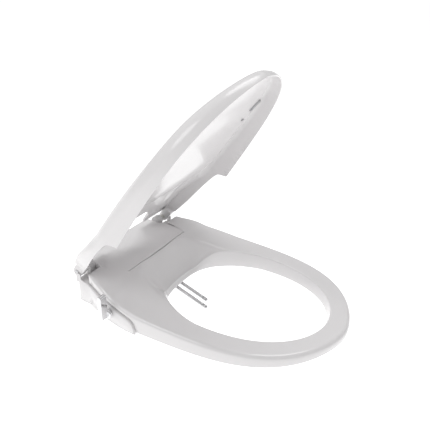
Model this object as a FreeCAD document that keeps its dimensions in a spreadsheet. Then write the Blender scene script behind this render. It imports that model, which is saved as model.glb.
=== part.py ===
"""Bidet toilet seat: lid, seat ring and a flat base unit with a lever valve and two sliding spray nozzles.

Millimetres, +Z up, the front of the seat towards -Y, the user's left on +X.
The origin is midway between the two fixing slots, on the plane of the bowl's rim.
"""
import FreeCAD, Part
import math
import os
import Sketcher

V = FreeCAD.Vector
X_AXIS, Y_AXIS, Z_AXIS = V(1, 0, 0), V(0, 1, 0), V(0, 0, 1)
SIDES = (("right", -1), ("left", 1))

DIMENSIONS = {
    # plan outline shared by the seat and the lid
    "half_width": 184.0, "front_reach": 465.1, "taper_start": 90.4, "shoulder_start": 130.0,
    "rear_half_width": 151.5, "rear_corner": 5.0,
    # opening of the seat
    "hole_half_width": 134.2, "hole_middle": 233.0, "hole_front": 190.2, "hole_rear": 127.5,
    # seat heights
    "seat_base": 3.0, "seat_nose_top": 21.0, "seat_deck_top": 64.6, "seat_tail_top": 67.6,
    "shell_wall": 3.0, "scoop_radius": 110.0, "scoop_back": 155.0, "scoop_height": 113.0,
    "deck_room_width": 211.0, "plate_rear": 142.0, "long_cut": 150.0, "bore_depth": 20.0,
    "sleeve_wall": 1.5, "sleeve_bore_depth": 30.0,
    # lid
    "lid_overhang": 4.9, "lid_wall": 2.7, "lid_edge": 5.0, "lid_nose_top": 31.0, "lid_tail_top": 76.0,
    "lid_open_angle": 56.6, "panel_thick": 2.2, "lid_notch_front": 30.0,
    "lid_notch_half": 60.0, "lid_rear": 24.0, "panel_rear": 38.5,
    "panel_room": 100.0, "lid_arm_low": 50.5,
    # hinge line
    "hinge_back": 38.0, "hinge_height": 62.0, "pin_radius": 4.0, "ear_radius": 10.0, "ear_bore": 4.06,
    "bracket_inner": 109.0, "bracket_outer": 123.0, "seat_ear_inner": 124.6, "seat_ear_outer": 136.0,
    "lid_ear_inner": 137.4, "lid_ear_outer": 149.6, "pin_end": 151.0, "damper_radius": 7.5,
    "damper_length": 11.4,
    # base unit
    "plate_width": 196.0, "plate_depth": 56.0, "plate_thick": 4.0, "slot_spacing": 140.0,
    "slot_length": 40.0, "slot_width": 10.0, "chassis_wall": 2.5, "chassis_top": 60.0,
    "chassis_front": 45.5, "chassis_rear": 60.0, "chassis_half": 103.5,
    "cover_front": 48.5, "cover_front_half": 104.6, "cover_rear_half": 107.6, "cover_wide_half": 112.0,
    "cover_top": 64.6, "cover_wall": 2.4, "cover_skirt": 10.0, "notch_gap": 1.8,
    "housing_proud": 3.6, "housing_rear": 38.0, "cheek_inner": 151.6, "cheek_outer": 155.0,
    "cheek_top": 62.5, "housing_wall": 2.6,
    "rear_cut_depth": 50.0,
    # water control
    "knob_back": 65.5, "knob_height": 22.5, "spindle_radius": 4.0, "hub_radius": 10.0,
    "hub_inner": 181.5, "hub_outer": 188.0, "lever_outer": 204.0, "lever_width": 9.0,
    "lever_top": 69.0, "lever_bottom": 16.0, "valve_radius": 7.5,
    "seal_length": 4.0, "valve_length": 34.0, "outlet_length": 22.0, "spindle_length": 32.0,
    # nozzles
    "nozzle_tilt": 19.0, "nozzle_pitch": 18.0, "nozzle_radius": 4.0, "nozzle_length": 125.0,
    "nozzle_exit": 100.0, "nozzle_drop": 5.0, "rear_nozzle_reach": 80.0, "front_nozzle_reach": 68.5,
    "nozzle_tip": 9.0, "guide_setback": 10.0, "guide_length": 118.0, "guide_width": 38.0,
    "guide_height": 17.0, "guide_bore": 4.08,
    # water inlet
    "inlet_side": 88.0, "inlet_height": 22.0, "inlet_radius": 10.3, "inlet_length": 12.0,
    "stub_radius": 7.8, "stub_length": 6.5, "inlet_bore": 5.0,
    "tube_radius": 3.0, "tube_way_radius": 9.0, "tube_way_length": 16.0,
    "foot_radius": 7.0, "foot_height": 3.5, "foot_proud": 1.2,
}

doc = FreeCAD.newDocument("bidet_seat")
sheet = doc.addObject("Spreadsheet::Sheet", "dims")
for row, (alias, value) in enumerate(DIMENSIONS.items(), start=1):
    sheet.set("A%d" % row, alias)
    sheet.set("B%d" % row, str(value))
    sheet.setAlias("B%d" % row, alias)
doc.recompute()


def size(alias):
    """A driving dimension, read from the sheet."""
    return float(sheet.get(alias))


def bind(feature, **expressions):
    """Tie properties of a feature to cells of the sheet; 'dims.' is put before every alias."""
    for prop, expression in expressions.items():
        words = expression.split()
        words = ["dims." + word if word in DIMENSIONS else word for word in words]
        feature.setExpression(prop.replace("__", "."), " ".join(words))


# ---------------------------------------------------------------- plan curves

def outline_half_width(y):
    """Half width of the seat's outline at y: an egg front and shoulders that draw in to the hinge."""
    if y <= -size("shoulder_start"):
        reach = size("front_reach") - size("taper_start")
        along = max(0.0, (-size("taper_start") - y) / reach)
        return size("half_width") * max(0.0, 1 - along ** 4.23) ** (1 / 1.654)
    along = (y + size("shoulder_start")) / (size("shoulder_start") + size("rear_corner"))
    return size("half_width") - (size("half_width") - size("rear_half_width")) * along ** 1.8


def offset_points(points, distance):
    """Move every point of an open line outwards (to the left of its travel) by a distance."""
    moved = []
    for index, point in enumerate(points):
        before = points[max(index - 1, 0)]
        after = points[min(index + 1, len(points) - 1)]
        run = V(after[0] - before[0], after[1] - before[1], 0)
        run.normalize()
        moved.append((point[0] + run.y * distance, point[1] - run.x * distance))
    return moved


def outline_points(distance=0.0, rear=None):
    """Right rear corner, round the front, to the left rear corner, moved outwards by a distance."""
    rear = size("rear_corner") if rear is None else rear
    front = -size("front_reach")
    half = []
    steps = 15
    for step in range(steps + 1):
        blend = math.sin(0.5 * math.pi * step / steps) ** 1.15
        y = rear + (front - rear) * blend
        half.append((-outline_half_width(y), y))
    half[-1] = (0.0, front)
    full = half + [(-x, y) for x, y in reversed(half[:-1])]
    return offset_points(full, distance)


def hole_points(distance=0.0):
    """Closed loop of the seat's opening: an oval front and a blunter rear, moved outwards by a distance."""
    half_width = size("hole_half_width") + distance
    middle = -size("hole_middle")
    points = []
    steps = 9
    for step in range(steps):
        along = math.sin(0.5 * math.pi * (1 - step / steps))
        wide = (1 - along ** 1.5) ** (1 / 3.0)
        points.append((half_width * wide, middle + (size("hole_rear") + distance) * along))
    for step in range(steps + 1):
        along = math.sin(0.5 * math.pi * step / steps)
        wide = max(0.0, 1 - along ** 2.309) ** (1 / 1.977)
        points.append((half_width * wide, middle - (size("hole_front") + distance) * along))
    return points + [(-x, y) for x, y in reversed(points[1:-1])]


def seat_top_points(drop=0.0):
    """Side view of the seat's upper surface, from the nose to the tail."""
    nose, deck, tail = size("seat_nose_top"), size("seat_deck_top"), size("seat_tail_top")
    line = [(-490, nose - 2), (-300, nose + 9.5), (-170, nose + 18), (-110, nose + 27),
            (-75, deck - 7), (-50, deck), (-18, tail - 1), (30, tail)]
    return [(y, z - drop) for y, z in line]


def arch_points(lift=0.0):
    """Side view of the rising line between the side housings and what lies above them."""
    line = [(-131, 4), (-122, 23), (-104, 29), (-62, 36), (-20, 41), (9, 45)]
    return [(y, z + lift) for y, z in line]


# ---------------------------------------------------------------- feature helpers

def origin_plane(body, role):
    return next(f for f in body.Origin.OriginFeatures if f.Role == role)


def new_body(label):
    body = doc.addObject("PartDesign::Body", label)
    body.Label = label
    return body


def new_sketch(body, name, role, curves, lift=0.0):
    sketch = body.newObject("Sketcher::SketchObject", name)
    sketch.AttachmentSupport = [(origin_plane(body, role), "")]
    sketch.MapMode = "FlatFace"
    sketch.AttachmentOffset = FreeCAD.Placement(V(0, 0, lift), FreeCAD.Rotation())
    for curve in curves:
        sketch.addGeometry(curve, False)
    return sketch


def polygon(points, closed=True):
    ends = points[1:] + (points[:1] if closed else [])
    return [Part.LineSegment(V(a[0], a[1], 0), V(b[0], b[1], 0)) for a, b in zip(points, ends)]


def spline(points, closed=False):
    curve = Part.BSplineCurve()
    vectors = [V(x, y, 0) for x, y in points]
    curve.interpolate(Points=vectors, PeriodicFlag=closed)
    return curve


def circle(x, y, radius):
    return Part.Circle(V(x, y, 0), Z_AXIS, radius)


def pad(body, name, sketch, length, both_ways=False):
    feature = body.newObject("PartDesign::Pad", name)
    feature.Profile = sketch
    feature.Midplane = both_ways
    bind(feature, Length=length)
    return feature


def pocket(body, name, sketch, length, both_ways=False, backwards=False):
    feature = body.newObject("PartDesign::Pocket", name)
    feature.Profile = sketch
    feature.Midplane = both_ways
    feature.Reversed = backwards
    bind(feature, Length=length)
    return feature


def cut(label, base, *tools):
    """Base minus one or several tools."""
    tool = tools[0]
    if len(tools) > 1:
        tool = doc.addObject("Part::MultiFuse", label + "_tools")
        tool.Shapes = list(tools)
    result = doc.addObject("Part::Cut", label)
    result.Base = base
    result.Tool = tool
    result.Label = label
    return result


def fuse(label, *pieces):
    result = doc.addObject("Part::MultiFuse", label)
    result.Shapes = list(pieces)
    result.Label = label
    return result


def common(label, base, tool):
    result = doc.addObject("Part::Common", label)
    result.Base = base
    result.Tool = tool
    result.Label = label
    return result


def compound(label, *pieces):
    result = doc.addObject("Part::Compound", label)
    result.Links = list(pieces)
    result.Label = label
    return result


def rod(label, start, axis, radius, length):
    """Round bar from a point along an axis; radius and length are expressions over the sheet."""
    feature = doc.addObject("Part::Cylinder", label)
    feature.Label = label
    bind(feature, Radius=radius, Height=length)
    feature.Placement = FreeCAD.Placement(V(*start), FreeCAD.Rotation(Z_AXIS, axis))
    return feature


def block(label, low, high):
    """Box between two corners."""
    feature = doc.addObject("Part::Box", label)
    feature.Label = label
    feature.Length, feature.Width, feature.Height = [b - a for a, b in zip(low, high)]
    feature.Placement = FreeCAD.Placement(V(*low), FreeCAD.Rotation())
    return feature


def ball(label, centre, radius):
    feature = doc.addObject("Part::Sphere", label)
    feature.Label = label
    bind(feature, Radius=radius)
    feature.Placement = FreeCAD.Placement(V(*centre), FreeCAD.Rotation())
    return feature


def turned(label, start, axis, outline):
    """Solid of revolution about an axis through start; outline holds (radius, along) pairs."""
    body = new_body(label)
    sketch = new_sketch(body, label + "_outline", "XZ_Plane", polygon(outline))
    feature = body.newObject("PartDesign::Revolution", label + "_turn")
    feature.Profile = sketch
    feature.ReferenceAxis = (next(f for f in body.Origin.OriginFeatures if f.Role == "Z_Axis"), [""])
    feature.Angle = 360
    body.Placement = FreeCAD.Placement(V(*start), FreeCAD.Rotation(Z_AXIS, axis))
    return body


# ---------------------------------------------------------------- seat

NOTCH = [(-size("cover_front_half") - size("notch_gap"), -50.0),
         (size("cover_front_half") + size("notch_gap"), -50.0),
         (size("cover_wide_half") + size("notch_gap"), 13.0),
         (-size("cover_wide_half") - size("notch_gap"), 13.0)]


def seat_solid(label, inset, drop):
    """The seat's whole volume, or with an inset and a drop the space inside its walls."""
    body = new_body(label)
    points = outline_points(-inset)
    tail = size("rear_corner") + 4 - inset
    right, left = points[0], points[-1]
    rear = [left, (left[0] - 5, tail), (right[0] + 5, tail), right]
    plan = new_sketch(body, label + "_plan", "XY_Plane",
                      [spline(points)] + polygon(rear, closed=False), size("seat_base"))
    pad(body, label + "_pad", plan, "seat_tail_top + 8")
    top = seat_top_points(drop)
    above = new_sketch(body, label + "_top", "YZ_Plane",
                       [spline(top)] + polygon([top[-1], (30, 120), (-490, 120), top[0]], closed=False))
    pocket(body, label + "_top_cut", above, "half_width * 3", both_ways=True)
    opening = new_sketch(body, label + "_opening", "XY_Plane", [spline(hole_points(inset), closed=True)], -9)
    pocket(body, label + "_opening_cut", opening, "seat_tail_top * 2", backwards=True)
    grown = []
    for x, y in NOTCH:
        grown.append((x + math.copysign(inset, x), y + (inset if y > 0 else -inset)))
    notch = new_sketch(body, label + "_notch", "XY_Plane", polygon(grown), -9)
    pocket(body, label + "_notch_cut", notch, "seat_tail_top * 2", backwards=True)
    return body


def room_below():
    """What the seat leaves free over the base unit: the side housings' arches and the way under the deck."""
    arch = arch_points(1.5)
    arch_body = new_body("seat_arch")
    closing = polygon([arch[-1], (30, 45), (30, -9), (-131, -9), arch[0]], closed=False)
    side_line = new_sketch(arch_body, "seat_arch_line", "YZ_Plane", [spline(arch)] + closing)
    pad(arch_body, "seat_arch_pad", side_line, "half_width * 3", both_ways=True)
    wedges = []
    for name, side in SIDES:
        wedge = new_body("seat_wedge_" + name)
        corners = [(side * x, y) for x, y in ((105, 30), (105, -42), (133, -131), (220, -131), (220, 30))]
        plan = new_sketch(wedge, "seat_wedge_plan_" + name, "XY_Plane", polygon(corners), -9)
        pad(wedge, "seat_wedge_pad_" + name, plan, "seat_tail_top * 2")
        wedges.append(wedge)
    sides = common("seat_arch_sides", arch_body, fuse("seat_wedges", *wedges))
    middle = new_body("seat_middle_room")
    deck_line = new_sketch(middle, "seat_middle_line", "YZ_Plane",
                           polygon([(-109, -9), (-109, 9), (-97, 26), (-62, 46), (30, 46), (30, -9)]))
    pad(middle, "seat_middle_pad", deck_line, "deck_room_width", both_ways=True)
    return sides, middle


def make_seat():
    outer = cut("seat_outer_open", seat_solid("seat_outer", 0.0, 0.0), *room_below())
    space = seat_solid("seat_space", size("shell_wall"), size("shell_wall"))
    scoop = ball("seat_scoop", (0, -size("scoop_back"), size("scoop_height")), "scoop_radius")
    scoop_skin = ball("seat_scoop_skin", (0, -size("scoop_back"), size("scoop_height")),
                      "scoop_radius + shell_wall")
    scooped = cut("seat_scooped", outer, scoop)
    hollow = cut("seat_hollow", space, scoop_skin)
    shell = cut("seat_walls", scooped, hollow)
    ears, bores = [], []
    axis_y, axis_z = size("hinge_back"), size("hinge_height")
    for name, side in SIDES:
        inner = side * size("seat_ear_inner")
        low, high = sorted((inner, side * size("seat_ear_outer")))
        ears.append(rod("seat_ear_" + name, (inner, axis_y, axis_z), X_AXIS * side,
                        "ear_radius", "seat_ear_outer - seat_ear_inner"))
        ears.append(block("seat_neck_" + name, (low, 4.0, axis_z - 8), (high, axis_y, axis_z + 5)))
        bores.append(rod("seat_bore_" + name, (side * 120, axis_y, axis_z), X_AXIS * side,
                         "ear_bore + sleeve_wall", "sleeve_bore_depth"))
    cut("seat_shell", fuse("seat_with_ears", shell, *ears), *bores)
    for name, side in SIDES:
        inner = side * size("seat_ear_inner")
        sleeve = rod("seat_sleeve_" + name, (inner, axis_y, axis_z), X_AXIS * side,
                     "ear_bore + sleeve_wall", "seat_ear_outer - seat_ear_inner")
        core = rod("seat_sleeve_core_" + name, (inner - side, axis_y, axis_z), X_AXIS * side,
                   "ear_bore", "bore_depth")
        cut("seat_hinge_bush_" + name, sleeve, core)


def make_seat_plate():
    """Horseshoe that closes the ring from below."""
    body = new_body("seat_bottom_plate")
    gap = size("shell_wall") + 0.2
    points = outline_points(-gap, -size("plate_rear"))
    plan = new_sketch(body, "plate_plan", "XY_Plane",
                      [spline(points)] + polygon([points[-1], points[0]], closed=False),
                      size("seat_base") + 0.5)
    pad(body, "plate_pad", plan, "shell_wall - 0.5")
    opening = new_sketch(body, "plate_opening", "XY_Plane", [spline(hole_points(gap), closed=True)], 0)
    pocket(body, "plate_opening_cut", opening, "bore_depth", backwards=True)


def make_bumpers():
    feet = []
    places = [(-158, -165), (158, -165), (-105, -388), (105, -388)]
    for index, (x, y) in enumerate(places):
        feet.append(rod("seat_foot_%d" % index, (x, y, 0), Z_AXIS, "foot_radius", "seat_base + 0.5"))
    compound("seat_bumpers", *feet)


# ---------------------------------------------------------------- lid

def lid_top_points(drop=0.0):
    nose, tail = size("lid_nose_top"), size("lid_tail_top")
    line = [(-490, nose - 5), (-470, nose), (-400, nose + 14.5), (-300, nose + 25), (-220, nose + 31.5),
            (-140, nose + 36.5), (-71, nose + 40), (0, tail - 0.5), (40, tail)]
    return [(y, z - drop) for y, z in line]


def lid_under_points():
    """Side view of the inner panel's lower face."""
    return [(-490, 23), (-300, 36), (-160, 46.5), (-105, 55.5), (-62, 63.6), (20, 68.0)]


def lid_solid(label, outset, drop, under, tail):
    """The lid's whole volume when closed, or the space inside its walls, which runs out at the tail."""
    body = new_body(label)
    points = outline_points(outset)
    right, left = points[0], points[-1]
    rear = [left, (left[0], left[1] + tail), (right[0], right[1] + tail), right]
    plan = new_sketch(body, label + "_plan", "XY_Plane",
                      [spline(points)] + polygon(rear, closed=False), size("lid_edge") - under)
    pad(body, label + "_pad", plan, "lid_tail_top + 8")
    top = lid_top_points(drop)
    above = new_sketch(body, label + "_top", "YZ_Plane",
                       [spline(top)] + polygon([top[-1], (40, 140), (-490, 140), top[0]], closed=False))
    pocket(body, label + "_top_cut", above, "half_width * 3", both_ways=True)
    return body


def make_lid():
    """Built closed, then turned about the hinge line to the open angle that is the rest pose."""
    wall = size("lid_wall")
    outer = lid_solid("lid_outer", size("lid_overhang"), 0.0, 0.0, 0.5)
    inner = lid_solid("lid_inner", size("lid_overhang") - wall, wall, 5.0, 30.0)
    skin = cut("lid_skin", outer, inner)
    axis_y, axis_z = size("hinge_back"), size("hinge_height")
    arms, bores, bushes = [], [], []
    for name, side in SIDES:
        inner_x, outer_x = side * size("lid_ear_inner"), side * size("lid_ear_outer")
        low, high = sorted((inner_x, outer_x))
        arms.append(rod("lid_ear_" + name, (inner_x, axis_y, axis_z), X_AXIS * side,
                        "ear_radius + 0.5", "lid_ear_outer - lid_ear_inner"))
        arms.append(block("lid_arm_" + name, (low, -36.0, 70.0), (high, axis_y + 4, size("lid_tail_top"))))
        arms.append(block("lid_arm_web_" + name, (low, axis_y - 24, size("lid_arm_low")),
                          (high, axis_y + 4, size("lid_tail_top") - 3)))
        flat_low, flat_high = sorted((side * (size("cover_wide_half") + 3), inner_x))
        arms.append(block("lid_arm_flat_" + name, (flat_low, -36.0, 73.4),
                          (flat_high, axis_y + 2, size("lid_tail_top"))))
        bores.append(rod("lid_bore_" + name, (side * 130, axis_y, axis_z), X_AXIS * side,
                         "ear_bore + sleeve_wall", "sleeve_bore_depth"))
        sleeve = rod("lid_sleeve_" + name, (inner_x, axis_y, axis_z), X_AXIS * side,
                     "ear_bore + sleeve_wall", "lid_ear_outer - lid_ear_inner")
        core = rod("lid_sleeve_core_" + name, (inner_x - side, axis_y, axis_z), X_AXIS * side,
                   "ear_bore", "bore_depth")
        bushes.append(cut("lid_bush_closed_" + name, sleeve, core))
    arch = new_body("lid_arch")
    line = arch_points(1.5)
    line[0] = (-133.0, 2.0)
    under = new_sketch(arch, "lid_arch_line", "YZ_Plane",
                       [spline(line)] + polygon([line[-1], (9, -20), (-133, -20), line[0]], closed=False))
    pad(arch, "lid_arch_pad", under, "half_width * 3", both_ways=True)
    notch_half, behind_half = size("lid_notch_half"), size("cover_wide_half") + 2
    notch = block("lid_notch", (-notch_half, -size("lid_notch_front"), 0), (notch_half, 90, 120))
    behind = block("lid_rear_cut", (-behind_half, size("lid_rear"), 0), (behind_half, 90, 120))
    with_arms = fuse("lid_with_arms", cut("lid_trimmed", skin, arch, notch, behind), *arms)
    shell = cut("lid_shell_closed", with_arms, *bores)
    panel = lid_panel()
    pads = []
    for name, side in SIDES:
        pads.append(rod("lid_pad_" + name, (side * 138.0, -335.0, 29.8), Z_AXIS, "foot_radius + 3", "4.9"))
    pad_group = fuse("lid_pads_closed", *pads)
    clear_pads = cut("lid_pads_trimmed", pad_group, panel)
    for closed, label in ((shell, "lid_shell"), (panel, "lid_inner_panel"), (clear_pads, "lid_bumpers"),
                          (bushes[0], "lid_hinge_bush_right"), (bushes[1], "lid_hinge_bush_left")):
        opened(label, closed, axis_y, axis_z)


def opened(label, closed, axis_y, axis_z):
    """Copy of a lid piece at the open angle."""
    doc.recompute()
    shape = closed.Shape.copy()
    shape.rotate(V(0, axis_y, axis_z), X_AXIS, -size("lid_open_angle"))
    solids = shape.Solids
    feature = doc.addObject("Part::Feature", label)
    feature.Label = label
    feature.Shape = solids[0] if len(solids) == 1 else Part.makeCompound(solids)
    return feature


def lid_panel():
    """Inner panel of the lid: a sheet that follows the under line, inside the skirt."""
    body = new_body("lid_panel_closed")
    points = outline_points(size("lid_overhang") - size("lid_wall") - 0.2)
    right, left = points[0], points[-1]
    plan = new_sketch(body, "panel_plan", "XY_Plane",
                      [spline(points)] + polygon([left, right], closed=False), size("lid_edge"))
    pad(body, "panel_pad", plan, "panel_room")
    under = lid_under_points()
    over = [(y, z + size("panel_thick")) for y, z in under]
    below = new_sketch(body, "panel_under", "YZ_Plane",
                       [spline(under)] + polygon([under[-1], (20, -30), (-490, -30), under[0]], closed=False))
    pocket(body, "panel_under_cut", below, "half_width * 3", both_ways=True)
    above = new_sketch(body, "panel_over", "YZ_Plane",
                       [spline(over)] + polygon([over[-1], (20, 150), (-490, 150), over[0]], closed=False))
    pocket(body, "panel_over_cut", above, "half_width * 3", both_ways=True)
    behind = -size("panel_rear")
    rear = new_sketch(body, "panel_rear", "XY_Plane",
                      polygon([(-200, behind), (200, behind), (200, 60), (-200, 60)]), -5)
    pocket(body, "panel_rear_cut", rear, "long_cut", backwards=True)
    return body


# ---------------------------------------------------------------- base unit

def make_mounting_plate():
    body = new_body("mounting_plate")
    half, deep = size("plate_width") / 2, size("plate_depth") / 2
    plan = new_sketch(body, "mount_plan", "XY_Plane",
                      polygon([(-half, -deep), (half, -deep), (half, deep), (-half, deep)]))
    pad(body, "mount_pad", plan, "plate_thick")
    straight = (size("slot_length") - size("slot_width")) / 2
    radius = size("slot_width") / 2
    for name, side in SIDES:
        middle = side * size("slot_spacing") / 2
        curves = [Part.LineSegment(V(middle - straight, radius, 0), V(middle + straight, radius, 0)),
                  Part.LineSegment(V(middle - straight, -radius, 0), V(middle + straight, -radius, 0)),
                  Part.ArcOfCircle(circle(middle + straight, 0, radius), -math.pi / 2, math.pi / 2),
                  Part.ArcOfCircle(circle(middle - straight, 0, radius), math.pi / 2, 1.5 * math.pi)]
        slot = new_sketch(body, "mount_slot_" + name, "XY_Plane", curves, -1)
        pocket(body, "mount_slot_cut_" + name, slot, "plate_thick + 2", backwards=True)


FOOT_PLACES = [(-90, -37), (90, -37), (-90, 47), (90, 47)]


def make_chassis():
    """Open tray under the cover, with ways through for the guide, the tubes, the inlet and the bolts."""
    half, front, rear = size("chassis_half"), size("chassis_front"), size("chassis_rear")
    wall, floor = size("chassis_wall"), size("plate_thick") + 0.3
    tray = new_body("chassis_tray")
    right_side = [(half - 11, -front), (half - 2.5, -front + 8), (half, -front + 25), (half, rear - 5),
                  (half - 5, rear)]
    corners = right_side + [(-x, y) for x, y in reversed(right_side)]
    plan = new_sketch(tray, "tray_plan", "XY_Plane", polygon(corners), size("foot_proud"))
    pad(tray, "tray_pad", plan, "chassis_top - foot_proud")
    inside = [(x - math.copysign(wall, x), y - math.copysign(wall, y)) for x, y in corners]
    well = new_sketch(tray, "tray_well", "XY_Plane", polygon(inside), floor + wall)
    pocket(tray, "tray_well_cut", well, "chassis_top", backwards=True)
    foot_half, foot_deep = size("plate_width") / 2 + 0.3, size("plate_depth") / 2 + 0.3
    recess = new_sketch(tray, "tray_recess", "XY_Plane",
                        polygon([(-foot_half, -foot_deep), (foot_half, -foot_deep), (foot_half, foot_deep),
                                 (-foot_half, foot_deep)]), -1)
    pocket(tray, "tray_recess_cut", recess, "plate_thick + 1.3", backwards=True)
    way_half = size("guide_width") / 2 + 1
    ways = [block("way_guide", (-way_half, -front - 5, 3.0), (way_half, -front + 10, 26.0))]
    for name, side in SIDES:
        middle = side * size("slot_spacing") / 2
        ways.append(rod("way_bolt_" + name, (middle, 0, -1), Z_AXIS, "slot_length / 2 - 6", "bore_depth"))
    ways.append(rod("way_inlet", (-size("inlet_side"), rear - 8, size("inlet_height")), Y_AXIS,
                    "stub_radius + 0.2", "bore_depth"))
    for index, (x, y) in enumerate(FOOT_PLACES):
        ways.append(rod("way_foot_%d" % index, (x, y, 0), Z_AXIS, "foot_radius + 0.1", "foot_height"))
    ways.append(rod("way_tubes", (-half - 5, -30, 30), X_AXIS, "tube_way_radius", "tube_way_length"))
    cut("chassis", tray, *ways)


def cover_corners(inset=0.0):
    front, wide = size("cover_front") - inset, size("cover_wide_half") - inset
    corner = 8.0
    front_half, rear_half = size("cover_front_half") - inset, size("cover_rear_half") - inset
    right_side = [(front_half - corner, -front), (front_half + 0.5, -front + corner), (wide, 13 - inset),
                  (wide, 20 - inset), (rear_half, 20 - inset), (rear_half, 56 - inset),
                  (rear_half - 5, 63 - inset)]
    return right_side + [(-x, y) for x, y in reversed(right_side)]


def make_cover():
    body = new_body("cover_block")
    plan = new_sketch(body, "cover_plan", "XY_Plane", polygon(cover_corners()),
                      size("cover_top") - size("cover_skirt") - size("cover_wall"))
    pad(body, "cover_pad", plan, "cover_skirt + cover_wall")
    well = new_sketch(body, "cover_well", "XY_Plane", polygon(cover_corners(size("cover_wall") - 0.2)),
                      size("cover_top") - size("cover_skirt") - size("cover_wall") - 1)
    pocket(body, "cover_well_cut", well, "cover_skirt + 1", backwards=True)
    body.Label = "top_cover"


def housing_plan(side, inset=0.0):
    """Plan of a side housing: the outline's curve outside, the chassis inside."""
    outer = []
    steps = 6
    for step in range(steps + 1):
        y = -131.0 + inset + (136.0 - inset) * step / steps
        outer.append((outline_half_width(y) + size("housing_proud") - inset, y))
    start, end = outer[0], outer[-1]
    rear = size("housing_rear") - inset
    cheek, beside_chassis = size("cheek_outer") - inset, size("chassis_half") + 0.3 + inset
    beside_bracket = size("bracket_outer") + 1.2 + inset
    tail = [end, (cheek, 10), (cheek, rear - 8), (cheek - 6, rear), (beside_bracket, rear),
            (beside_bracket, 22 - inset), (beside_chassis, 22 - inset), (beside_chassis, -42 + inset),
            (150, -90 + inset), (start[0] - 8 + inset, -131 + inset), start]
    curves = [spline([(side * x, y) for x, y in outer])]
    return curves + polygon([(side * x, y) for x, y in tail], closed=False)


def housing_solid(label, side, inset, drop):
    body = new_body(label)
    low = 0.0 if drop == 0 else -2.0
    plan = new_sketch(body, label + "_plan", "XY_Plane", housing_plan(side, inset), low)
    pad(body, label + "_pad", plan, "cheek_top")
    line = [(y, z - drop) for y, z in arch_points()]
    above = new_sketch(body, label + "_top", "YZ_Plane",
                       [spline(line)] + polygon([line[-1], (9, 99), (-131, 99), line[0]], closed=False))
    pocket(body, label + "_top_cut", above, "half_width * 3", both_ways=True)
    # the cheek beside the hinge stays, the rest is cut back under the ears; the inner space is open there
    reach = size("cheek_inner") if drop == 0 else 400.0
    under_ears = new_sketch(body, label + "_rear", "XZ_Plane",
                            polygon([(side * 90, 48 - drop), (side * reach, 48 - drop),
                                     (side * reach, 99), (side * 90, 99)]), -34)
    pocket(body, label + "_rear_cut", under_ears, "rear_cut_depth", both_ways=True)
    return body


def make_housing(name, side):
    outer = housing_solid("housing_outer_" + name, side, 0.0, 0.0)
    inner = housing_solid("housing_inner_" + name, side, size("housing_wall"), size("housing_wall"))
    tools = [inner]
    if side < 0:
        tools.append(rod("housing_bore", (-195, -size("knob_back"), size("knob_height")), X_AXIS,
                         "spindle_radius + 2", "slot_length"))
    tools.append(rod("housing_tubes_" + name, (side * 98, -30, 30), X_AXIS * side, "tube_way_radius",
                     "tube_way_length"))
    cut(name + "_side_housing", outer, *tools)


def make_hinge(name, side):
    axis_y, axis_z = size("hinge_back"), size("hinge_height")
    inner, outer = side * size("bracket_inner"), side * size("bracket_outer")
    low, high = sorted((inner, outer))
    post = block("bracket_post_" + name, (low, axis_y - 10, 6), (high, axis_y + 10, axis_z))
    foot = block("bracket_foot_" + name, (low, axis_y - 15, 0), (high, axis_y + 15, 6))
    barrel = rod("bracket_barrel_" + name, (inner, axis_y, axis_z), X_AXIS * side, "ear_radius + 1",
                 "bracket_outer - bracket_inner")
    well = rod("bracket_well_" + name, (inner + side * 2, axis_y, axis_z), X_AXIS * side,
               "damper_radius + 0.1", "bore_depth")
    cut("hinge_bracket_" + name, fuse("bracket_whole_" + name, post, foot, barrel), well)
    case = rod("damper_case_" + name, (inner + side * 2.2, axis_y, axis_z), X_AXIS * side,
               "damper_radius", "damper_length")
    hole = rod("damper_hole_" + name, (inner + side * 5, axis_y, axis_z), X_AXIS * side,
               "pin_radius + 0.05", "bore_depth")
    cut("lid_damper_" + name, case, hole)
    shaft = rod("pin_shaft_" + name, (inner + side * 5.2, axis_y, axis_z), X_AXIS * side, "pin_radius",
                "pin_end - bracket_inner - 5.2")
    shaft.Label = "hinge_pin_" + name


def make_feet():
    feet = []
    for index, (x, y) in enumerate(FOOT_PLACES):
        feet.append(rod("base_foot_%d" % index, (x, y, 0), Z_AXIS, "foot_radius", "foot_height"))
    compound("base_feet", *feet)


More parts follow.
